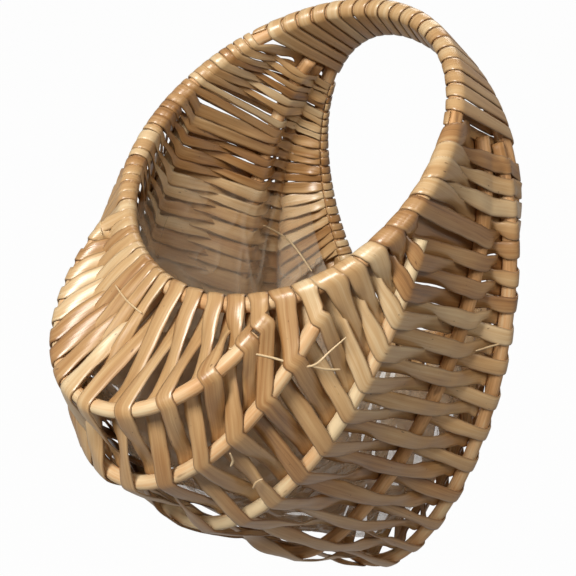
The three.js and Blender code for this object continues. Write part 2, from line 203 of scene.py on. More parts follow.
# Film: its edge, how far it is drawn in, and its distance from each hoop as a share of the way between them
FILM_EDGE_HEIGHT = -113
FILM_EDGE_SLOPE = 0.5
FILM_EDGE_HALVINGS = 24
FILM_DRAWN_IN = 0.101
FILM_FRONT = 0.05
FILM_BACK = 0.05
FILM_GRID = (110, 170)

# Film: folds about 70 mm long and 20 mm apart, crinkles about 22 mm apart, and how deep and sharp they are
FOLD_SCALE = Vector((0.05, 0.05, 0.014))
FOLD_SHARPNESS = 7
CRINKLE_SCALE = 0.045
CRINKLE_SHARPNESS = 9
CRINKLE_SHARE = 0.7
CREASE_DEPTH = 0.02
RIPPLE_SCALE = 0.05
RIPPLE_DEPTH = 0.014

# Film: haze at its edge and deep in the bowl, and along creases, where the raised haze is a painted highlight
EDGE_HAZE = 0.14
DEEP_HAZE = 0.56
CREASE_HAZE_AS_HIGHLIGHT = 0.4
EDGE_CREASE_SHARE = 0.3
DEEP_FROM = 0.25

# Floor, m, and the share of it that shows as plain white
FLOOR_SIZE = 6
FLOOR_LEVEL = -0.3
FLOOR_PLAIN = 0.98

# Lamps: name, way towards it, size, power and colour, all as far from the place that they aim at, m and W
LAMPS = (
    ("key", (0.2, -0.78, 0.95), 0.42, 17.5, "#FFFAF3"),
    ("side", (1.0, -0.15, 0.8), 0.35, 3.6, "#FFF1E0"),
    ("behind", (-0.6, 1.0, 0.7), 0.7, 5.0, "#FFF6EC"),
)
LAMP_AIM = Vector((0, 0.01, 0.17))
LAMP_DISTANCE = 1.3
FILL_COLOUR = "#FFF4E6"
FILL_STRENGTH = 0.12

# Camera at the photograph's angle: degrees, and mm from the top of the hoops
CAMERA_AZIMUTH = 48.0
CAMERA_ELEVATION = 31.65
CAMERA_ROLL = 0.8
CAMERA_AIM = Vector((0.76, -71.25, -109.9))
CAMERA_DISTANCE = 689
CAMERA_LENS = 97.58
SENSOR_WIDTH = 36

WHITE = (1, 1, 1, 1)


def linear(code):
    """Linear RGBA of an sRGB hex colour."""
    parts = [int(code[i:i + 2], 16) / 255 for i in (1, 3, 5)]
    return tuple(c / 12.92 if c <= 0.04045 else ((c + 0.055) / 1.055) ** 2.4 for c in parts) + (1.0,)


def smooth(a, b, x):
    """Eased share of the way from a to b."""
    t = min(max((x - a) / (b - a), 0.0), 1.0)
    return t * t * (3 - 2 * t)


def wander(*place):
    """Smooth noise at a place. The fixed numbers in a place only set one use apart from another."""
    return noise.noise(Vector(place))


class FrameSettings(PropertyGroup):
    """Sizes of the rods"""
    hoop: FloatProperty(name="Hoop diameter", description="Thickness of the two hoops",
                        default=0.0066, unit="LENGTH")
    rib: FloatProperty(name="Rib diameter", description="Thickness of the ribs",
                       default=0.0064, unit="LENGTH")
    knots: FloatProperty(name="Unevenness", description="Share by which a rib swells and thins", default=0.05)


class WeaveSettings(PropertyGroup):
    """Sizes of the split strips"""
    weavers: IntProperty(name="Weavers", description="Strips that go round the bowl", default=34)
    width: FloatProperty(name="Strip width", description="Width of a split strip",
                         default=0.0079, unit="LENGTH")
    thickness: FloatProperty(name="Strip thickness", description="Thickness of a strip",
                             default=0.00095, unit="LENGTH")
    stray: FloatProperty(name="Stray", description="Share of a row by which crossings wander", default=0.16)
    turns: IntProperty(name="Binding turns", description="Turns of the binding round the handle", default=21)
    binding: FloatProperty(name="Binding width", description="Widest part of the binding",
                           default=0.0078, unit="LENGTH")


class FinishSettings(PropertyGroup):
    """Colours of the split wood, the rods and the film"""
    pale: FloatVectorProperty(name="Pale straw", description="Lightest split wood", size=4, subtype="COLOR",
                              default=linear("#E4CFA8"))
    straw: FloatVectorProperty(name="Straw", description="Common split wood", size=4, subtype="COLOR",
                               default=linear("#C8A474"))
    honey: FloatVectorProperty(name="Honey", description="Warmer split wood", size=4, subtype="COLOR",
                               default=linear("#A77B4B"))
    brown: FloatVectorProperty(name="Brown", description="Darkest streaks", size=4, subtype="COLOR",
                               default=linear("#5A371A"))
    rod: FloatVectorProperty(name="Peeled rod", description="Bare rods", size=4, subtype="COLOR",
                             default=linear("#D6A978"))
    film: FloatVectorProperty(name="Film", description="Haze of the clear film", size=4, subtype="COLOR",
                              default=linear("#E2D6C4"))
    floor: FloatVectorProperty(name="Floor", description="Pale floor", size=4, subtype="COLOR",
                               default=linear("#9A958E"))


def add_node(tree, kind, inputs=None, stops=None, **settings):
    """Adds a node with its settings, and its inputs as values or as the sockets that feed them."""
    node = tree.nodes.new(kind)
    for key, value in settings.items():
        setattr(node, key, value)
    for key, value in (inputs or {}).items():
        if isinstance(value, bpy.types.NodeSocket):
            tree.links.new(value, node.inputs[key])
        else:
            node.inputs[key].default_value = value
    if stops:
        ramp = node.color_ramp.elements
        while len(ramp) < len(stops):
            ramp.new(0.5)
        for element, (place, colour) in zip(ramp, stops):
            element.position = place
            element.color = colour
    return node


def new_material(name):
    """An empty material and its node tree."""
    material = bpy.data.materials.new(name)
    material.use_nodes = True
    material.node_tree.nodes.clear()
    return material, material.node_tree


def attribute(tree, name, output):
    """A value that each vertex carries."""
    return add_node(tree, "ShaderNodeAttribute", attribute_name=name).outputs[output]


def maths(tree, operation, *values):
    """Output of a maths node that is fed values or sockets."""
    return add_node(tree, "ShaderNodeMath", dict(enumerate(values)), operation=operation).outputs[0]


def mix_colours(tree, share, first, second):
    """Colour that lies a share of the way from the first to the second."""
    return add_node(tree, "ShaderNodeMix", {0: share, 6: first, 7: second}, data_type="RGBA").outputs[2]


def grain_noise(tree, grain, per_mm, detail):
    """Noise drawn out along the grain, by its scale per mm along, across and through a piece."""
    at = add_node(tree, "ShaderNodeVectorMath", {0: grain, 1: per_mm}, operation="MULTIPLY")
    made = add_node(tree, "ShaderNodeTexNoise", {"Vector": at.outputs[0], "Scale": 1.0, "Detail": detail})
    return made.outputs["Fac"]


def threshold(tree, value, low, high, most):
    """From nothing where a value is low to the most where it is high."""
    limits = {"Value": value, "From Min": low, "From Max": high, "To Max": most}
    return add_node(tree, "ShaderNodeMapRange", limits).outputs[0]


def seen_plain(tree):
    """How far a ray sees plain white: camera and transmitted rays in full, reflected ones in part."""
    path = add_node(tree, "ShaderNodeLightPath").outputs
    glossy = maths(tree, "MULTIPLY", path["Is Glossy Ray"], GLOSSY_SHARE)
    through = maths(tree, "MAXIMUM", path["Is Transmission Ray"], glossy)
    return maths(tree, "MAXIMUM", path["Is Camera Ray"], through)


class Rod:
    """Centre line of a rod, from its right end to its left end, mm."""

    def __init__(self, name, order, radius, points, lean, closed):
        self.name, self.order, self.radius, self.points, self.closed = name, order, radius, points, closed
        self.normal = Vector((0, math.cos(lean * DEG), -math.sin(lean * DEG)))
        self.lengths = [0.0]
        for a, b in zip(points, points[1:]):
            self.lengths.append(self.lengths[-1] + (b - a).length)
        self.total = self.lengths[-1]
        self.start, self.share, self.crowding = 0.0, 0.0, 0.0

    def at(self, s):
        """Point and direction at a length, carried on straight past the ends."""
        last = len(self.points) - 1
        i = min(max(bisect.bisect_left(self.lengths, s), 1), last)
        u = (s - self.lengths[i - 1]) / (self.lengths[i] - self.lengths[i - 1])
        along = self.points[min(i + 1, last)] - self.points[max(i - 2, 0)]
        return self.points[i - 1].lerp(self.points[i], u), along.normalized()

    def distance(self, p):
        """Least distance from a point to the centre line."""
        return min((q - p).length for q in self.points)

    def length_at(self, angle):
        """Length along a hoop at an angle of its loop."""
        i = angle % 360 / 360 * (len(self.points) - 1)
        low = min(int(i), len(self.points) - 2)
        return self.lengths[low] + (self.lengths[low + 1] - self.lengths[low]) * (i - low)


def loop_point(loop, angle):
    """Point on an oval loop that hangs from the top line."""
    lean, half, top, length, egg, hinge = loop
    t = angle * DEG
    down = top + (length - top) * (1 - math.cos(t)) / 2
    return Vector((half * math.sin(t) * (1 + egg * math.cos(t)),
                   hinge - down * math.sin(lean * DEG), -down * math.cos(lean * DEG)))


def loop_rod(name, order, radius, loop, tip):
    """Hoop, or long rib that ends a tip angle away from the top on each side."""
    points = [loop_point(loop, tip + (360 - 2 * tip) * i / 360) for i in range(361)]
    return Rod(name, order, radius, points, loop[0], tip == 0)


def spring_rod(name, order, radius, hoop, loop, arc, gap):
    """Rib whose two ends rest against a hoop."""
    start, lean, bulge, drop = arc
    end = loop_point(loop, start)
    half = end.x + bulge
    first = math.asin(end.x / half)
    points = []
    for i in range(RIB_POINTS + 1):
        a = first + (2 * math.pi - 2 * first) * i / RIB_POINTS
        down = drop * (math.cos(first) - math.cos(a))
        p = Vector((half * math.sin(a), end.y - down * math.sin(lean * DEG),
                    end.z - down * math.cos(lean * DEG)))
        if hoop.distance(p) > gap:
            points.append(p)
    return Rod(name, order, radius, points, lean, False)


class Weave:
    """The rods, and how each row of strips crosses them."""

    def __init__(self, frame_settings, weave_settings):
        hoop = frame_settings.hoop / MM / 2
        rib = frame_settings.rib / MM / 2
        self.rows = 2 * weave_settings.weavers
        self.width = weave_settings.width / MM
        self.thickness = weave_settings.thickness / MM
        self.half = self.thickness / 2 + STRIP_CLEARANCE
        self.stray = weave_settings.stray
        self.front = loop_rod("front_hoop", 0, hoop, FRONT_LOOP, 0)
        self.back = loop_rod("back_hoop", 7, hoop, BACK_LOOP, 0)
        rib_1 = spring_rod("rib_1", 1, rib, self.front, FRONT_LOOP, RIB_1_ARC, RIB_END_GAP)
        rib_2 = spring_rod("rib_2", 2, rib, self.front, FRONT_LOOP, RIB_2_ARC, RIB_END_GAP)
        rib_3 = spring_rod("rib_3", 3, rib, self.front, FRONT_LOOP, RIB_3_ARC, RIB_END_GAP)
        rib_4 = loop_rod("rib_4", 4, rib, RIB_4_LOOP, SHOULDER_TIP)
        rib_5 = loop_rod("rib_5", 5, rib, RIB_5_LOOP, SHOULDER_TIP)
        rib_6 = spring_rod("rib_6", 6, rib, self.back, BACK_LOOP, RIB_6_ARC, RIB_6_END_GAP)
        self.rods = [self.front, rib_1, rib_2, rib_3, rib_4, rib_5, rib_6, self.back]
        self.front.start = self.front.length_at(HOOP_WEAVE_START)
        self.back.start = self.back.length_at(HOOP_WEAVE_START)
        self.front.crowding = FRONT_CROWDING
        rib_4.start = rib_5.start = RIB_WEAVE_START
        rib_3.crowding = RIB_3_CROWDING
        rib_4.crowding = RIB_4_CROWDING
        rib_5.crowding = RIB_5_CROWDING
        for rod in (rib_1, rib_2, rib_3):
            rod.share = self.share(self.front, rod)
        rib_6.share = self.share(self.back, rib_6)

    def share(self, hoop, rib):
        """Share of the rows before a rib's tip."""
        tip = rib.points[0]
        nearest = min(range(len(hoop.points)), key=lambda i: (hoop.points[i] - tip).length)
        g = (hoop.lengths[nearest] - hoop.start) / (hoop.total - 2 * hoop.start)
        f = g
        for _ in range(CROWDING_ROUNDS):
            f = g - hoop.crowding * math.sin(2 * math.pi * f) / (2 * math.pi)
        return f

    def crossings(self, f, rows, row=None):
        """Rods that a row crosses, each with the point and the rod's direction."""
        found = []
        margin = TIP_MARGIN / self.rows
        for rod in self.rods:
            if f < rod.share - margin or f > 1 - rod.share + margin:
                continue
            g = (f - rod.share) / (1 - 2 * rod.share)
            g += rod.crowding * math.sin(2 * math.pi * g) / (2 * math.pi)
            if row is not None and 0 < row < rows - 1:
                stray = self.stray / rows * (CLOSE_STRAY if rows > self.rows else 1)
                g += stray * wander(row * 1.37, rod.order * 3.1, 4.2) * 2
            point, along = rod.at(rod.start + g * (rod.total - 2 * rod.start))
            found.append({"rod": rod, "point": point, "along": along})
        return found

    def outward(self, crossing, span):
        """Way out of the basket, square to a rod and to a span of a row."""
        n = crossing["along"].cross(span).normalized()
        return -n if n.dot(crossing["point"] - INSIDE) < 0 else n

    def give_sides(self, row, found):
        """Over or under each rod in turn, and on the same side of two rods that lie close together."""
        close = SAME_SIDE_WITHIN * self.rods[1].radius * 2
        for c in found:
            c["sign"] = 1 if (row + c["rod"].order) % 2 == 0 else -1
        for i in range(1, len(found)):
            if found[i]["rod"].order < 4 and (found[i]["point"] - found[i - 1]["point"]).length < close:
                found[i]["sign"] = found[i - 1]["sign"]
        for i in range(len(found) - 2, 0, -1):
            if found[i]["rod"].order > 3 and (found[i]["point"] - found[i + 1]["point"]).length < close:
                found[i]["sign"] = found[i + 1]["sign"]

    def room(self, beside, here):
        """Mean distance from a place on a row to the rows beside it."""
        total = 0.0
        for row in beside:
            least = 3 * self.width
            for a, b in zip(row, row[1:]):
                chord = b["point"] - a["point"]
                u = min(max((here - a["point"]).dot(chord) / chord.length_squared, 0.0), 1.0)
                least = min(least, (a["point"] + chord * u - here).length)
            total += least
        return total / len(beside)

    def place(self, at, along, out, width, free=0.0, tilt=0.0, cup=0.0):
        """A place on a strip: the rods' direction, the way out, and how the strip is turned and cupped."""
        return {"at": at, "along": along, "out": out, "width": width,
                "free": free, "tilt": tilt, "cup": cup}

    def row_path(self, row, rows, width):
        """Centre line of one row out of so many, bent round the outside of each rod."""
        f = (row + 0.5) / rows
        found = self.crossings(f, rows, row)
        self.give_sides(row, found)
        beside = [self.crossings(f - 1 / rows, rows, row - 1), self.crossings(f + 1 / rows, rows, row + 1)]
        path = []
        lift = {0: -SHOULDER_LIFT, rows - 1: SHOULDER_LIFT}.get(row, 0.0)
        shingle = smooth(*SHINGLE_START, f) - smooth(*SHINGLE_END, f)
        close = rows > self.rows
        narrowing = CLOSE_NARROWING if close else SHINGLE_NARROWING
        for i, c in enumerate(found):
            before = c["point"] - found[i - 1]["point"] if i > 0 else None
            after = found[i + 1]["point"] - c["point"] if i < len(found) - 1 else None
            na = self.outward(c, before or after)
            nb = self.outward(c, after or before)
            h = c["rod"].radius + self.half
            turn = na.angle(nb)
            convex = after is not None and na.dot(after) < 0
            wide = min(width, 2 * self.room(beside, c["point"]) - ROW_GAP) + abs(lift)
            narrow = 1 - narrowing * shingle if 0 < c["rod"].order < 7 else 1
            bends = math.ceil(turn / BEND_STEP) if before and after and convex == (c["sign"] > 0) else 0
            reach = h / math.cos(turn / bends / 2) if bends else h
            for k in range(bends + 1):
                n = na.lerp(nb, k / bends if bends else 0.5).normalized()
                path.append(self.place(c["point"] + n * c["sign"] * reach, c["along"], n, wide * narrow))
            if after is None:
                continue
            d = found[i + 1]
            dn = self.outward(d, after)
            hd = d["rod"].radius + self.half
            crossed = c["sign"] != d["sign"]
            for u in SHORT_SPAN_STOPS if crossed and after.length < SHORT_SPAN else LONG_SPAN_STOPS:
                k = (1 + math.cos(math.pi * u)) / 2
                hump = math.sin(math.pi * u)
                base = c["point"].lerp(d["point"], u)
                room = self.room(beside, base)
                free = smooth(*FREE_ROOM, room / width) * hump ** 2
                bow = free * FREE_BOW * wander(row * 2.3, c["rod"].order * 5.7, 0.4)
                along = c["along"].lerp(d["along"], u).normalized()
                base = base + nb * (c["sign"] * h * k + bow) + dn * d["sign"] * hd * (1 - k) + along * lift
                spread = FULL_SPREAD
                if crossed:
                    spread = CROSSED_SPREAD + (FULL_SPREAD - CROSSED_SPREAD) * abs(math.cos(math.pi * u))
                most = room * spread
                true = min(wide, most * (OVERLAP + SHINGLE_OVERLAP * shingle) + 2 * abs(lift))
                if close:
                    true += (min(width, CLOSE_SPREAD * room) - true) * shingle
                tilt = math.acos(min(1.0, (most + 2 * abs(lift)) / true)) * (1 - SHINGLE_FLATTENING * shingle)
                tilt = -tilt if f < 0.5 else tilt + SHINGLE_TILT * shingle * hump
                tilt += FREE_TILT * free * wander(row * 3.7, c["rod"].order * 2.9, 7.7)
                path.append(self.place(base, along, nb.lerp(dn, u), true, free, tilt, hump))
        return path, found

    def hoop_turn(self, a, a_next, b, b_next, width, stop):
        """Part turn round a hoop, from one row's outside to the next row's inside."""
        h = (a["rod"].radius + self.half) / math.cos(TURN_STEP / 2 * DEG)
        frames = []
        for c, following in ((a, a_next), (b, b_next)):
            span = following["point"] - c["point"]
            n = self.outward(c, span)
            m = n.cross(c["along"]).normalized()
            frames.append((n, -m if m.dot(span) > 0 else m))
        points = []
        for angle in (*range(TURN_STEP, 180, TURN_STEP), stop):
            u = angle / 180
            n = frames[0][0].lerp(frames[1][0], u).normalized()
            m = frames[0][1].lerp(frames[1][1], u).normalized()
            off = n * h * math.cos(angle * DEG) + m * h * math.sin(angle * DEG)
            at = a["point"].lerp(b["point"], u) + off
            along = a["along"].lerp(b["along"], u).normalized()
            points.append(self.place(at, along, at - a["point"], width))
        return points

    def weaver_path(self, k, rows, width):
        """In along one row, round the front hoop, back along the next, and round the back hoop."""
        go, first = self.row_path(2 * k, rows, width)
        back, second = self.row_path(2 * k + 1, rows, width)
        side = abs((2 * k + 1) / rows - 0.5)
        pitch = (first[0]["point"] - second[0]["point"]).length * 2
        most = pitch * TURN_SHARE
        broad = min(width + (most - width) * smooth(*TURN_BROADENS, side), most)
        path = go[::-1]
        path[-1]["width"] = broad
        path += self.hoop_turn(first[0], first[1], second[0], second[1], broad, FRONT_TURN_STOP)
        back[0]["width"] = broad
        path += back
        if 2 * k + 2 < rows:
            _, third = self.row_path(2 * k + 2, rows, width)
            ends = (second[-1], second[-2], third[-1], third[-2])
            path += self.hoop_turn(*ends, back[-1]["width"], BACK_TURN_STOP)
        return path

    def surface(self, f, u):
        """Point on the surface of the rods: f across the basket, u from front hoop to back hoop."""
        found = self.crossings(f, self.rows)
        lengths = [0.0]
        for a, b in zip(found, found[1:]):
            lengths.append(lengths[-1] + (b["point"] - a["point"]).length)
        s = u * lengths[-1]
        k = min(max(bisect.bisect_left(lengths, s), 1), len(found) - 1)
        share = (s - lengths[k - 1]) / (lengths[k] - lengths[k - 1])
        return found[k - 1]["point"].lerp(found[k]["point"], share)

    def film_edge(self, u):
        """Where the film's upper edge crosses the surface, found by halving."""
        high, low = 0.0, 0.5
        for _ in range(FILM_EDGE_HALVINGS):
            f = (high + low) / 2
            p = self.surface(f, u)
            if p.z > FILM_EDGE_HEIGHT - FILM_EDGE_SLOPE * p.y:
                high = f
            else:
                low = f
        return low

    def binding_path(self, turns, widest):
        """Binding wound round both hoops from shoulder to shoulder."""
        steps = 24
        lift = self.thickness / 2 + BINDING_LIFT
        path = []
        for i in range(turns * steps + 1):
            angle = (-1 + 2 * i / (turns * steps)) * BINDING_END
            held = [hoop.at(hoop.length_at(angle)) for hoop in (self.front, self.back)]
            middle = (held[0][0] + held[1][0]) / 2
            along = (held[0][1] + held[1][1]).normalized()
            across = held[0][0] - held[1][0]
            across = (across - along * across.dot(along)).normalized()
            up = across.cross(along).normalized()
            a = 2 * math.pi * i / steps
            n = across * math.cos(a) + up * math.sin(a)
            best = None
            for point, direction in held:
                tilt = n.dot(direction)
                reach = (self.front.radius + lift) / math.sqrt(1 - tilt * tilt)
                far = (point - middle).dot(n) + reach
                if best is None or far > best[0]:
                    best = (far, point + n * reach, direction)
            path.append(self.place(best[1], best[2], n, widest))
        for i, p in enumerate(path):
            least = widest
            for j in range(max(i - 2 * steps, 0), min(i + 2 * steps, len(path) - 1)):
                if abs(j - i) >= steps // 2:
                    start = path[j]["at"]
                    chord = path[j + 1]["at"] - start
                    u = (p["at"] - start).dot(chord) / max(chord.length_squared, 1e-9)
                    foot = start + chord * min(max(u, 0.0), 1.0)
                    least = min(least, (foot - p["at"]).length - BINDING_GAP)
            p["width"] = least
        return path


def glide(values, steps, t):
    """Value a share t of the way between the middle two of four, on a smooth curve through them."""
    v, d = values, steps
    a = ((v[1] - v[0]) / d[0] - (v[2] - v[0]) / (d[0] + d[1]) + (v[2] - v[1]) / d[1]) * d[1]
    b = ((v[2] - v[1]) / d[1] - (v[3] - v[1]) / (d[1] + d[2]) + (v[3] - v[2]) / d[2]) * d[1]
    return (v[1] * (2 * t ** 3 - 3 * t ** 2 + 1) + a * (t ** 3 - 2 * t ** 2 + t)
            + v[2] * (3 * t ** 2 - 2 * t ** 3) + b * (t ** 3 - t ** 2))


def ease_path(path, step):
    """The path again as a smooth curve through its places, a step or less apart."""
    eased = []
    last = len(path) - 1
    for i in range(last):
        four = [path[min(max(i + k, 0), last)] for k in (-1, 0, 1, 2)]
        chords = [(b["at"] - a["at"]).length for a, b in zip(four, four[1:])]
        if chords[1] < 1e-6:
            continue
        steps = [max(chord, 1e-2) ** 0.5 for chord in chords]
        pieces = max(1, math.ceil(chords[1] / step))
        for k in range(pieces):
            between = {key: glide([p[key] for p in four], steps, k / pieces) for key in path[0]}
            between["along"] = between["along"].normalized()
            eased.append(between)
    eased.append(dict(path[-1]))
    return eased


# Section of a split strip: places across as shares of its width, heights as shares of its thickness
STRIP_SECTION = [(0.5, 0.0), (0.47, 0.34), (0.3, 0.5), (0.0, 0.58), (-0.3, 0.5), (-0.47, 0.34),
                 (-0.5, 0.0), (-0.47, -0.34), (-0.3, -0.46), (0.0, -0.48), (0.3, -0.46), (0.47, -0.34)]


def start_mesh():
    """A new mesh with the layers that carry the grain along each piece."""
    bm = bmesh.new()
    layers = {
        "grain": bm.verts.layers.float_vector.new("grain"),
        "tone": bm.verts.layers.float.new("tone"),
        "edge": bm.verts.layers.float.new("edge"),
    }
    return bm, layers


def extrude_rings(bm, layers, rings, closed):
    """Extrudes a ring of edges from section to section, each a list of (place, grain, tone, edge)."""
    count = len(rings[0])
    order = bmesh.ops.create_circle(bm, segments=count, radius=1)["verts"]
    edges = list({e for v in order for e in v.link_edges})
    first_edges = edges
    for number, ring in enumerate(rings):
        if number:
            made = bmesh.ops.extrude_edge_only(bm, edges=edges)["geom"]
            index = {v: i for i, v in enumerate(order)}
            fresh = [v for v in made if isinstance(v, bmesh.types.BMVert)]
            following = [None] * count
            for v in fresh:
                for e in v.link_edges:
                    if e.other_vert(v) in index:
                        following[index[e.other_vert(v)]] = v
            order = following
            inside = set(fresh)
            edges = [e for e in made if isinstance(e, bmesh.types.BMEdge)
                     and e.verts[0] in inside and e.verts[1] in inside]
        for v, (place, grain, tone, edge) in zip(order, ring):
            v.co = (place + HANGER) * MM
            v[layers["grain"]] = grain
            v[layers["tone"]] = tone
            v[layers["edge"]] = edge
    if closed:
        bmesh.ops.bridge_loops(bm, edges=first_edges + edges)
    else:
        bmesh.ops.holes_fill(bm, edges=first_edges + edges, sides=0)


def strip_rings(path, thickness, tone, seed):
    """Sections of a split strip along a path, a little uneven in width and twist."""
    rings = []
    run = 0.0
    previous = None
    for i, p in enumerate(path):
        a = path[max(i - 1, 0)]["at"]
        b = path[min(i + 1, len(path) - 1)]["at"]
        run += (p["at"] - path[i - 1]["at"]).length if i else 0.0
        ahead = (b - a).normalized()
        wide = (p["along"] - ahead * p["along"].dot(ahead) * SQUARING).normalized()
        thick = ahead.cross(wide).normalized()
        if previous is not None and thick.dot(previous) < 0:
            thick = -thick
        previous = thick
        uneven = 1 + WIDTH_UNEVEN * wander(run * 0.06, seed * 7.7, 1.1)
        left = 1 + EDGE_UNEVEN * wander(run * 0.16, seed * 3.3, 5.0)
        right = 1 + EDGE_UNEVEN * wander(run * 0.16, seed * 3.3, 9.0)
        facing = 1 if thick.dot(p["out"]) > 0 else -1
        roll = (ROLL + FREE_ROLL * p["free"]) * wander(run * 0.04, seed * 5.1, 2.2) + p["tilt"] * facing
        cos, sin = math.cos(roll), math.sin(roll)
        wide, thick = wide * cos + thick * sin, thick * cos - wide * sin
        slant = max(wide.cross(ahead).length, LEAST_SLANT) ** SLANT_POWER
        ring = []
        for x, y in STRIP_SECTION:
            across = x * p["width"] / slant * uneven * (right if x > 0 else left)
            sag = p["cup"] * p["width"] * CUP_DEPTH * x * x * facing
            place = p["at"] + wide * across + thick * (y * thickness - sag)
            grain = (run + seed * STRIP_GRAIN_APART, across, seed * 13.0 + (0.3 if y < 0 else 0.0))
            ring.append((place, grain, tone, abs(x) * 2))
        rings.append(ring)
    return rings


def finish_piece(bm, name, material, nodes):
    """The mesh as a piece of the basket that stands for its CAD nodes."""
    bmesh.ops.recalc_face_normals(bm, faces=bm.faces)
    for face in bm.faces:
        face.smooth = True
    mesh = bpy.data.meshes.new(name)
    bm.to_mesh(mesh)
    bm.free()
    mesh.materials.append(material)
    piece = bpy.data.objects.new(name, mesh)
    bpy.context.scene.collection.objects.link(piece)
    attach(piece, "root")
    if nodes:
        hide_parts(*nodes)
    return piece


def split_willow():
    """Split willow, shaved to strips and dried: satin skin, streaks along the length, small dark specks."""
    material = bpy.data.materials.get("split_willow")
    if material:
        return material
    finish = bpy.context.scene.basket_finish
    material, tree = new_material("split_willow")
    grain = attribute(tree, "grain", "Vector")
    # Tone drifts over about 60 mm of a strip, broad streaks are 1.4 mm and fine ones 0.5 mm wide
    drift = grain_noise(tree, grain, (0.016, 0.10, 1.0), 2.0)
    broad = grain_noise(tree, grain, (0.02, 0.7, 1.0), 3.0)
    fine = grain_noise(tree, grain, (0.06, 2.0, 1.0), 3.0)
    shade = maths(tree, "MULTIPLY", attribute(tree, "tone", "Fac"), 0.3)
    for pattern, weight in ((drift, 0.42), (broad, 0.24), (fine, 0.12)):
        shade = maths(tree, "MULTIPLY_ADD", pattern, weight, shade)
    colour = add_node(tree, "ShaderNodeValToRGB", {"Fac": shade}, stops=[
        (0.28, finish.brown), (0.42, finish.honey), (0.56, finish.straw), (0.74, finish.pale)])
    # Specks of a millimetre or two, where the bark was nicked
    speck = threshold(tree, grain_noise(tree, grain, (0.3, 0.75, 1.0), 1.0), 0.73, 0.8, 0.7)
    marked = mix_colours(tree, speck, colour.outputs[0], finish.brown)
    # Edges of each strip are darker: partly the split wood's own rougher cut edges, partly painted shade in
    # the gaps between strips
    edge_and_gap_shade = threshold(tree, attribute(tree, "edge", "Fac"), 0.8, 1.0, 0.62)
    edge_and_gap_shaded = mix_colours(tree, edge_and_gap_shade, marked, finish.brown)
    rough = add_node(tree, "ShaderNodeMapRange", {"Value": broad, "To Min": 0.24, "To Max": 0.44})
    height = maths(tree, "MULTIPLY_ADD", fine, 0.6, broad)
    bump = add_node(tree, "ShaderNodeBump", {"Strength": 0.2, "Distance": 0.0005, "Height": height})
    skin = add_node(tree, "ShaderNodeBsdfPrincipled", {
        "Base Color": edge_and_gap_shaded, "Roughness": rough.outputs[0], "IOR": 1.5, "Specular IOR Level": 0.8,
        "Normal": bump.outputs[0]})
    add_node(tree, "ShaderNodeOutputMaterial", {"Surface": skin.outputs[0]})
    return material


def peeled_rod():
    """Peeled willow rod: smooth and dry, faint streaks along the rod and a few darker knots."""
    finish = bpy.context.scene.basket_finish
    material, tree = new_material("peeled_willow_rod")
    grain = attribute(tree, "grain", "Vector")
    # Tone drifts over about 30 mm of a rod, streaks are about 1 mm wide, and knots about 10 mm long
    drift = grain_noise(tree, grain, (0.03, 0.08, 0.08), 2.0)
    streak = grain_noise(tree, grain, (0.04, 1.0, 1.0), 3.0)
    knot = threshold(tree, grain_noise(tree, grain, (0.09, 0.3, 0.3), 1.0), 0.7, 0.8, 0.6)
    toned = maths(tree, "MULTIPLY_ADD", attribute(tree, "tone", "Fac"), 0.6, -0.3)
    shade = maths(tree, "MULTIPLY_ADD", streak, 0.5, maths(tree, "ADD", drift, toned))
    colour = add_node(tree, "ShaderNodeValToRGB", {"Fac": shade}, stops=[
        (0.45, finish.honey), (0.72, finish.rod), (1.0, finish.pale)])
    marked = mix_colours(tree, knot, colour.outputs[0], finish.brown)
    bump = add_node(tree, "ShaderNodeBump", {"Strength": 0.25, "Distance": 0.0004, "Height": streak})
    skin = add_node(tree, "ShaderNodeBsdfPrincipled", {
        "Base Color": marked, "Roughness": 0.5, "IOR": 1.48, "Normal": bump.outputs[0]})
    add_node(tree, "ShaderNodeOutputMaterial", {"Surface": skin.outputs[0]})
    return material


def clear_film():
    """Clear plastic film: glossy, see-through, hazy deep in the bowl, and paler along its creases, where the
    haze is a painted highlight.
    """
    finish = bpy.context.scene.basket_finish
    material, tree = new_material("clear_film")
    haze = add_node(tree, "ShaderNodeMapRange", {
        "Value": attribute(tree, "tone", "Fac"), "To Min": 0.0, "To Max": 0.56})
    skin = add_node(tree, "ShaderNodeBsdfPrincipled", {
        "Base Color": finish.film, "Roughness": 0.1, "IOR": 1.5, "Specular IOR Level": 0.8,
        "Alpha": haze.outputs[0]})
    add_node(tree, "ShaderNodeOutputMaterial", {"Surface": skin.outputs[0]})
    material.surface_render_method = "BLENDED"
    return material


def pale_floor():
    """Matte pale floor that the camera sees as plain white."""
    finish = bpy.context.scene.basket_finish
    material, tree = new_material("pale_floor")
    share = maths(tree, "MULTIPLY", seen_plain(tree), FLOOR_PLAIN)
    matte = add_node(tree, "ShaderNodeBsdfDiffuse", {"Color": finish.floor})
    white = add_node(tree, "ShaderNodeEmission", {"Color": WHITE, "Strength": 1.0})
    mixed = add_node(tree, "ShaderNodeMixShader", {0: share, 1: matte.outputs[0], 2: white.outputs[0]})
    add_node(tree, "ShaderNodeOutputMaterial", {"Surface": mixed.outputs[0]})
    return material


def current_weave():
    """The weave at the scene's settings."""
    scene = bpy.context.scene
    return Weave(scene.basket_frame, scene.basket_weave)


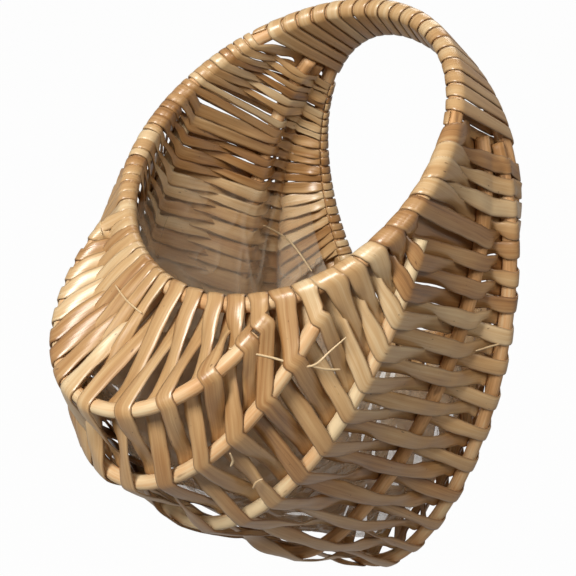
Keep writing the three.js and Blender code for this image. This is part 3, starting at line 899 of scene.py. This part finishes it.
class BASKET_OT_rods(Operator):
    """Makes the two hoops and the slightly uneven ribs as round rods"""
    bl_idname = "basket.rods"
    bl_label = "Hoops and Ribs"

    def execute(self, context):
        weave = current_weave()
        material = peeled_rod()
        sides = 16
        for rod in weave.rods:
            trim = 0 if rod.closed or rod.order in (4, 5) else RIB_TRIM
            count = int((rod.total - 2 * trim) / ROD_STEP)
            uneven = 0 if rod.closed else context.scene.basket_frame.knots
            rings = []
            for i in range(count if rod.closed else count + 1):
                s = trim + (rod.total - 2 * trim) * i / count
                point, along = rod.at(s)
                side = rod.normal.cross(along).normalized()
                swell = 1 + uneven * wander(s * 0.05, rod.order * 9.1, 0)
                ring = []
                for j in range(sides):
                    a = 2 * math.pi * j / sides
                    x = math.cos(a) * rod.radius * swell
                    y = math.sin(a) * rod.radius * swell
                    grain = (s + rod.order * ROD_GRAIN_APART, x, y)
                    ring.append((point + side * x + rod.normal * y, grain, ROD_TONES[rod.order], 0.0))
                rings.append(ring)
            bm, layers = start_mesh()
            extrude_rings(bm, layers, rings, rod.closed)
            finish_piece(bm, rod.name + "_rod", material, [rod.name])
        return {"FINISHED"}


class BASKET_OT_weavers(Operator):
    """Weaves the split strips over and under the rods"""
    bl_idname = "basket.weavers"
    bl_label = "Weavers"

    def execute(self, context):
        weave = current_weave()
        material = split_willow()
        chance = random.Random(WEAVER_SEED)
        for k in range(context.scene.basket_weave.weavers):
            node = f"weaver_{k + 1:02d}"
            across = (k + 0.5) / context.scene.basket_weave.weavers
            left = smooth(*SHINGLE_START, across) - SHINGLE_THINNING * smooth(*SHINGLE_END, across)
            width = weave.width * chance.uniform(*WIDTH_RANGE) * (1 + SHINGLE_BROADER * left)
            thickness = weave.thickness * chance.uniform(*THICKNESS_RANGE)
            strips = [(k, weave.rows, width)]
            if k >= CLOSE_FROM:
                strips = [(2 * k + i, 2 * weave.rows, width * CLOSE_WIDTH) for i in (0, 1)]
            bm, layers = start_mesh()
            for number, rows, broad in strips:
                path = ease_path(weave.weaver_path(number, rows, broad), STRIP_STEP)
                seed = k + 1 + STRIP_SEED_STEP * (number - k)
                rings = strip_rings(path, thickness, chance.uniform(*TONE_RANGE), seed)
                extrude_rings(bm, layers, rings, False)
            finish_piece(bm, node + "_strip", material, [node])
        return {"FINISHED"}


class BASKET_OT_binding(Operator):
    """Winds the binding round the two hoops to make the handle"""
    bl_idname = "basket.binding"
    bl_label = "Handle Binding"

    def execute(self, context):
        weave = current_weave()
        settings = context.scene.basket_weave
        path = weave.binding_path(settings.turns, settings.binding / MM)
        for i, p in enumerate(path):
            p["width"] *= BINDING_SHARE + BINDING_UNEVEN * wander(i * 0.07, 3.3, 8.1)
        path = ease_path(path, BINDING_STEP)
        bm, layers = start_mesh()
        rings = strip_rings(path, weave.thickness, BINDING_TONE, BINDING_SEED)
        extrude_rings(bm, layers, rings, False)
        finish_piece(bm, "handle_binding_strip", split_willow(), ["handle_binding"])
        return {"FINISHED"}


class BASKET_OT_fibres(Operator):
    """Lays the loose fibres that have frayed off the strips"""
    bl_idname = "basket.fibres"
    bl_label = "Loose Fibres"

    def execute(self, context):
        weave = current_weave()
        bm, layers = start_mesh()
        for number, (height, places) in enumerate(FIBRES):
            path = []
            for f, u in places:
                p = weave.surface(f, u)
                out = (p - INSIDE).normalized()
                path.append(weave.place(p + out * height, out, out, 1.0))
            eased = ease_path(path, FIBRE_STEP)
            rings = []
            for i, p in enumerate(eased):
                behind = eased[max(i - 1, 0)]["at"]
                ahead = (eased[min(i + 1, len(eased) - 1)]["at"] - behind).normalized()
                side = ahead.cross(p["out"]).normalized()
                belly = math.sin(math.pi * (i + 1) / (len(eased) + 1))
                thin = FIBRE_RADIUS * (FIBRE_TIP + (1 - FIBRE_TIP) * belly)
                ring = []
                for j in range(6):
                    a = math.pi * j / 3
                    off = side * math.cos(a) * thin * FIBRE_FLATNESS + side.cross(ahead) * math.sin(a) * thin
                    grain = (i * FIBRE_STEP + number * FIBRE_GRAIN_APART, math.cos(a), 3.0)
                    ring.append((p["at"] + off, grain, 1.0, 0.0))
                rings.append(ring)
            extrude_rings(bm, layers, rings, False)
        finish_piece(bm, "loose_fibres", split_willow(), [])
        return {"FINISHED"}


def ridge(value, sharpness):
    """Narrow ridge where a noise passes through nothing."""
    return (1 - min(abs(value) * sharpness, 1)) ** 2


class BASKET_OT_liner(Operator):
    """Lays the wrinkled clear film inside the bowl"""
    bl_idname = "basket.liner"
    bl_label = "Film Liner"

    def execute(self, context):
        weave = current_weave()
        across, down = FILM_GRID
        bm, layers = start_mesh()
        made = bmesh.ops.create_grid(bm, x_segments=across, y_segments=down, size=0.5)["verts"]
        edges = {}
        for v in made:
            j = round((v.co.x + 0.5) * across)
            i = v.co.y + 0.5
            u = FILM_FRONT + (1 - FILM_FRONT - FILM_BACK) * j / across
            if j not in edges:
                edges[j] = weave.film_edge(u)
            p = weave.surface(edges[j] + (1 - 2 * edges[j]) * i, u)
            fold = ridge(noise.noise(p * FOLD_SCALE), FOLD_SHARPNESS)
            crinkle = ridge(noise.noise(p * CRINKLE_SCALE + Vector((9, 3, 1))), CRINKLE_SHARPNESS)
            crease = max(fold, CRINKLE_SHARE * crinkle)
            deep = smooth(0.0, DEEP_FROM, min(i, 1 - i))
            ripple = RIPPLE_DEPTH * noise.noise(p * RIPPLE_SCALE)
            inward = FILM_DRAWN_IN + ripple + CREASE_DEPTH * crease
            v.co = (p.lerp(INSIDE, inward) + HANGER) * MM
            # Paler, hazier film along the creases is a painted highlight
            crease_highlight_haze = CREASE_HAZE_AS_HIGHLIGHT * crease * (EDGE_CREASE_SHARE + (1 - EDGE_CREASE_SHARE) * deep)
            v[layers["tone"]] = EDGE_HAZE + DEEP_HAZE * deep + crease_highlight_haze
            v[layers["grain"]] = p
        area = sum(face.calc_area() for face in bm.faces)
        piece = finish_piece(bm, "film_liner", clear_film(), ["liner"])
        return {"FINISHED"}


def add_floor(scene):
    """Floor a little below the basket, which hangs."""
    bm = bmesh.new()
    bmesh.ops.create_grid(bm, x_segments=1, y_segments=1, size=FLOOR_SIZE)
    bmesh.ops.translate(bm, verts=bm.verts, vec=(0, 0, FLOOR_LEVEL))
    mesh = bpy.data.meshes.new("floor")
    bm.to_mesh(mesh)
    bm.free()
    mesh.materials.append(pale_floor())
    floor = bpy.data.objects.new("floor", mesh)
    scene.collection.objects.link(floor)


def set_world(scene):
    """Weak warm fill all round, seen by the camera as plain white."""
    world = bpy.data.worlds.new("studio")
    scene.world = world
    world.use_nodes = True
    tree = world.node_tree
    tree.nodes.clear()
    fill = add_node(tree, "ShaderNodeBackground", {"Color": linear(FILL_COLOUR), "Strength": FILL_STRENGTH})
    plain = add_node(tree, "ShaderNodeBackground", {"Color": WHITE, "Strength": 1.0})
    sockets = {0: seen_plain(tree), 1: fill.outputs[0], 2: plain.outputs[0]}
    mixed = add_node(tree, "ShaderNodeMixShader", sockets)
    add_node(tree, "ShaderNodeOutputWorld", {"Surface": mixed.outputs[0]})


def add_lamps(scene):
    """Round soft lamps that aim at the middle of the basket."""
    for name, towards, size, power, colour in LAMPS:
        lamp = bpy.data.lights.new(name, "AREA")
        lamp.shape = "DISK"
        lamp.size = size
        lamp.energy = power
        lamp.color = linear(colour)[:3]
        light = bpy.data.objects.new(name, lamp)
        light.location = LAMP_AIM + Vector(towards).normalized() * LAMP_DISTANCE
        light.rotation_euler = (LAMP_AIM - light.location).to_track_quat("-Z", "Y").to_euler()
        scene.collection.objects.link(light)


def add_camera(scene):
    """Camera at the photograph's angle."""
    azimuth, elevation, roll = CAMERA_AZIMUTH * DEG, CAMERA_ELEVATION * DEG, CAMERA_ROLL * DEG
    back = Vector((math.sin(azimuth) * math.cos(elevation), -math.cos(azimuth) * math.cos(elevation),
                   math.sin(elevation)))
    level = Vector((math.cos(azimuth), math.sin(azimuth), 0))
    upright = back.cross(level)
    right = level * math.cos(roll) + upright * math.sin(roll)
    up = upright * math.cos(roll) - level * math.sin(roll)
    eye = (HANGER + CAMERA_AIM + back * CAMERA_DISTANCE) * MM
    lens = bpy.data.cameras.new("camera")
    lens.lens = CAMERA_LENS
    lens.sensor_width = SENSOR_WIDTH
    camera = bpy.data.objects.new("camera", lens)
    turn = Matrix((right, up, back)).transposed().to_4x4()
    camera.matrix_world = Matrix.Translation(eye) @ turn
    scene.collection.objects.link(camera)
    scene.camera = camera


class BASKET_OT_stage(Operator):
    """Sets the pale floor, the soft studio light and the camera at the photograph's angle"""
    bl_idname = "basket.stage"
    bl_label = "Stage"

    def execute(self, context):
        scene = context.scene
        add_floor(scene)
        set_world(scene)
        add_lamps(scene)
        add_camera(scene)
        scene.view_settings.view_transform = "Standard"
        return {"FINISHED"}


class BASKET_PT_panel(Panel):
    """Basket tools"""
    bl_label = "Half-Round Basket"
    bl_space_type = "VIEW_3D"
    bl_region_type = "UI"
    bl_category = "Basket"

    def draw(self, context):
        for group in (context.scene.basket_frame, context.scene.basket_weave, context.scene.basket_finish):
            box = self.layout.box()
            for name in group.__annotations__:
                box.prop(group, name)
        for operator in OPERATORS:
            self.layout.operator(operator.bl_idname)


OPERATORS = (BASKET_OT_rods, BASKET_OT_weavers, BASKET_OT_binding, BASKET_OT_fibres, BASKET_OT_liner,
             BASKET_OT_stage)
CLASSES = (FrameSettings, WeaveSettings, FinishSettings) + OPERATORS + (BASKET_PT_panel,)


def register():
    for cls in CLASSES:
        bpy.utils.register_class(cls)
    bpy.types.Scene.basket_frame = PointerProperty(type=FrameSettings)
    bpy.types.Scene.basket_weave = PointerProperty(type=WeaveSettings)
    bpy.types.Scene.basket_finish = PointerProperty(type=FinishSettings)


def unregister():
    del bpy.types.Scene.basket_frame
    del bpy.types.Scene.basket_weave
    del bpy.types.Scene.basket_finish
    for cls in reversed(CLASSES):
        bpy.utils.unregister_class(cls)


def main():
    register()
    bpy.ops.basket.rods()
    bpy.ops.basket.weavers()
    bpy.ops.basket.binding()
    bpy.ops.basket.fibres()
    bpy.ops.basket.liner()
    bpy.ops.basket.stage()


if __name__ == "__main__":
    main()
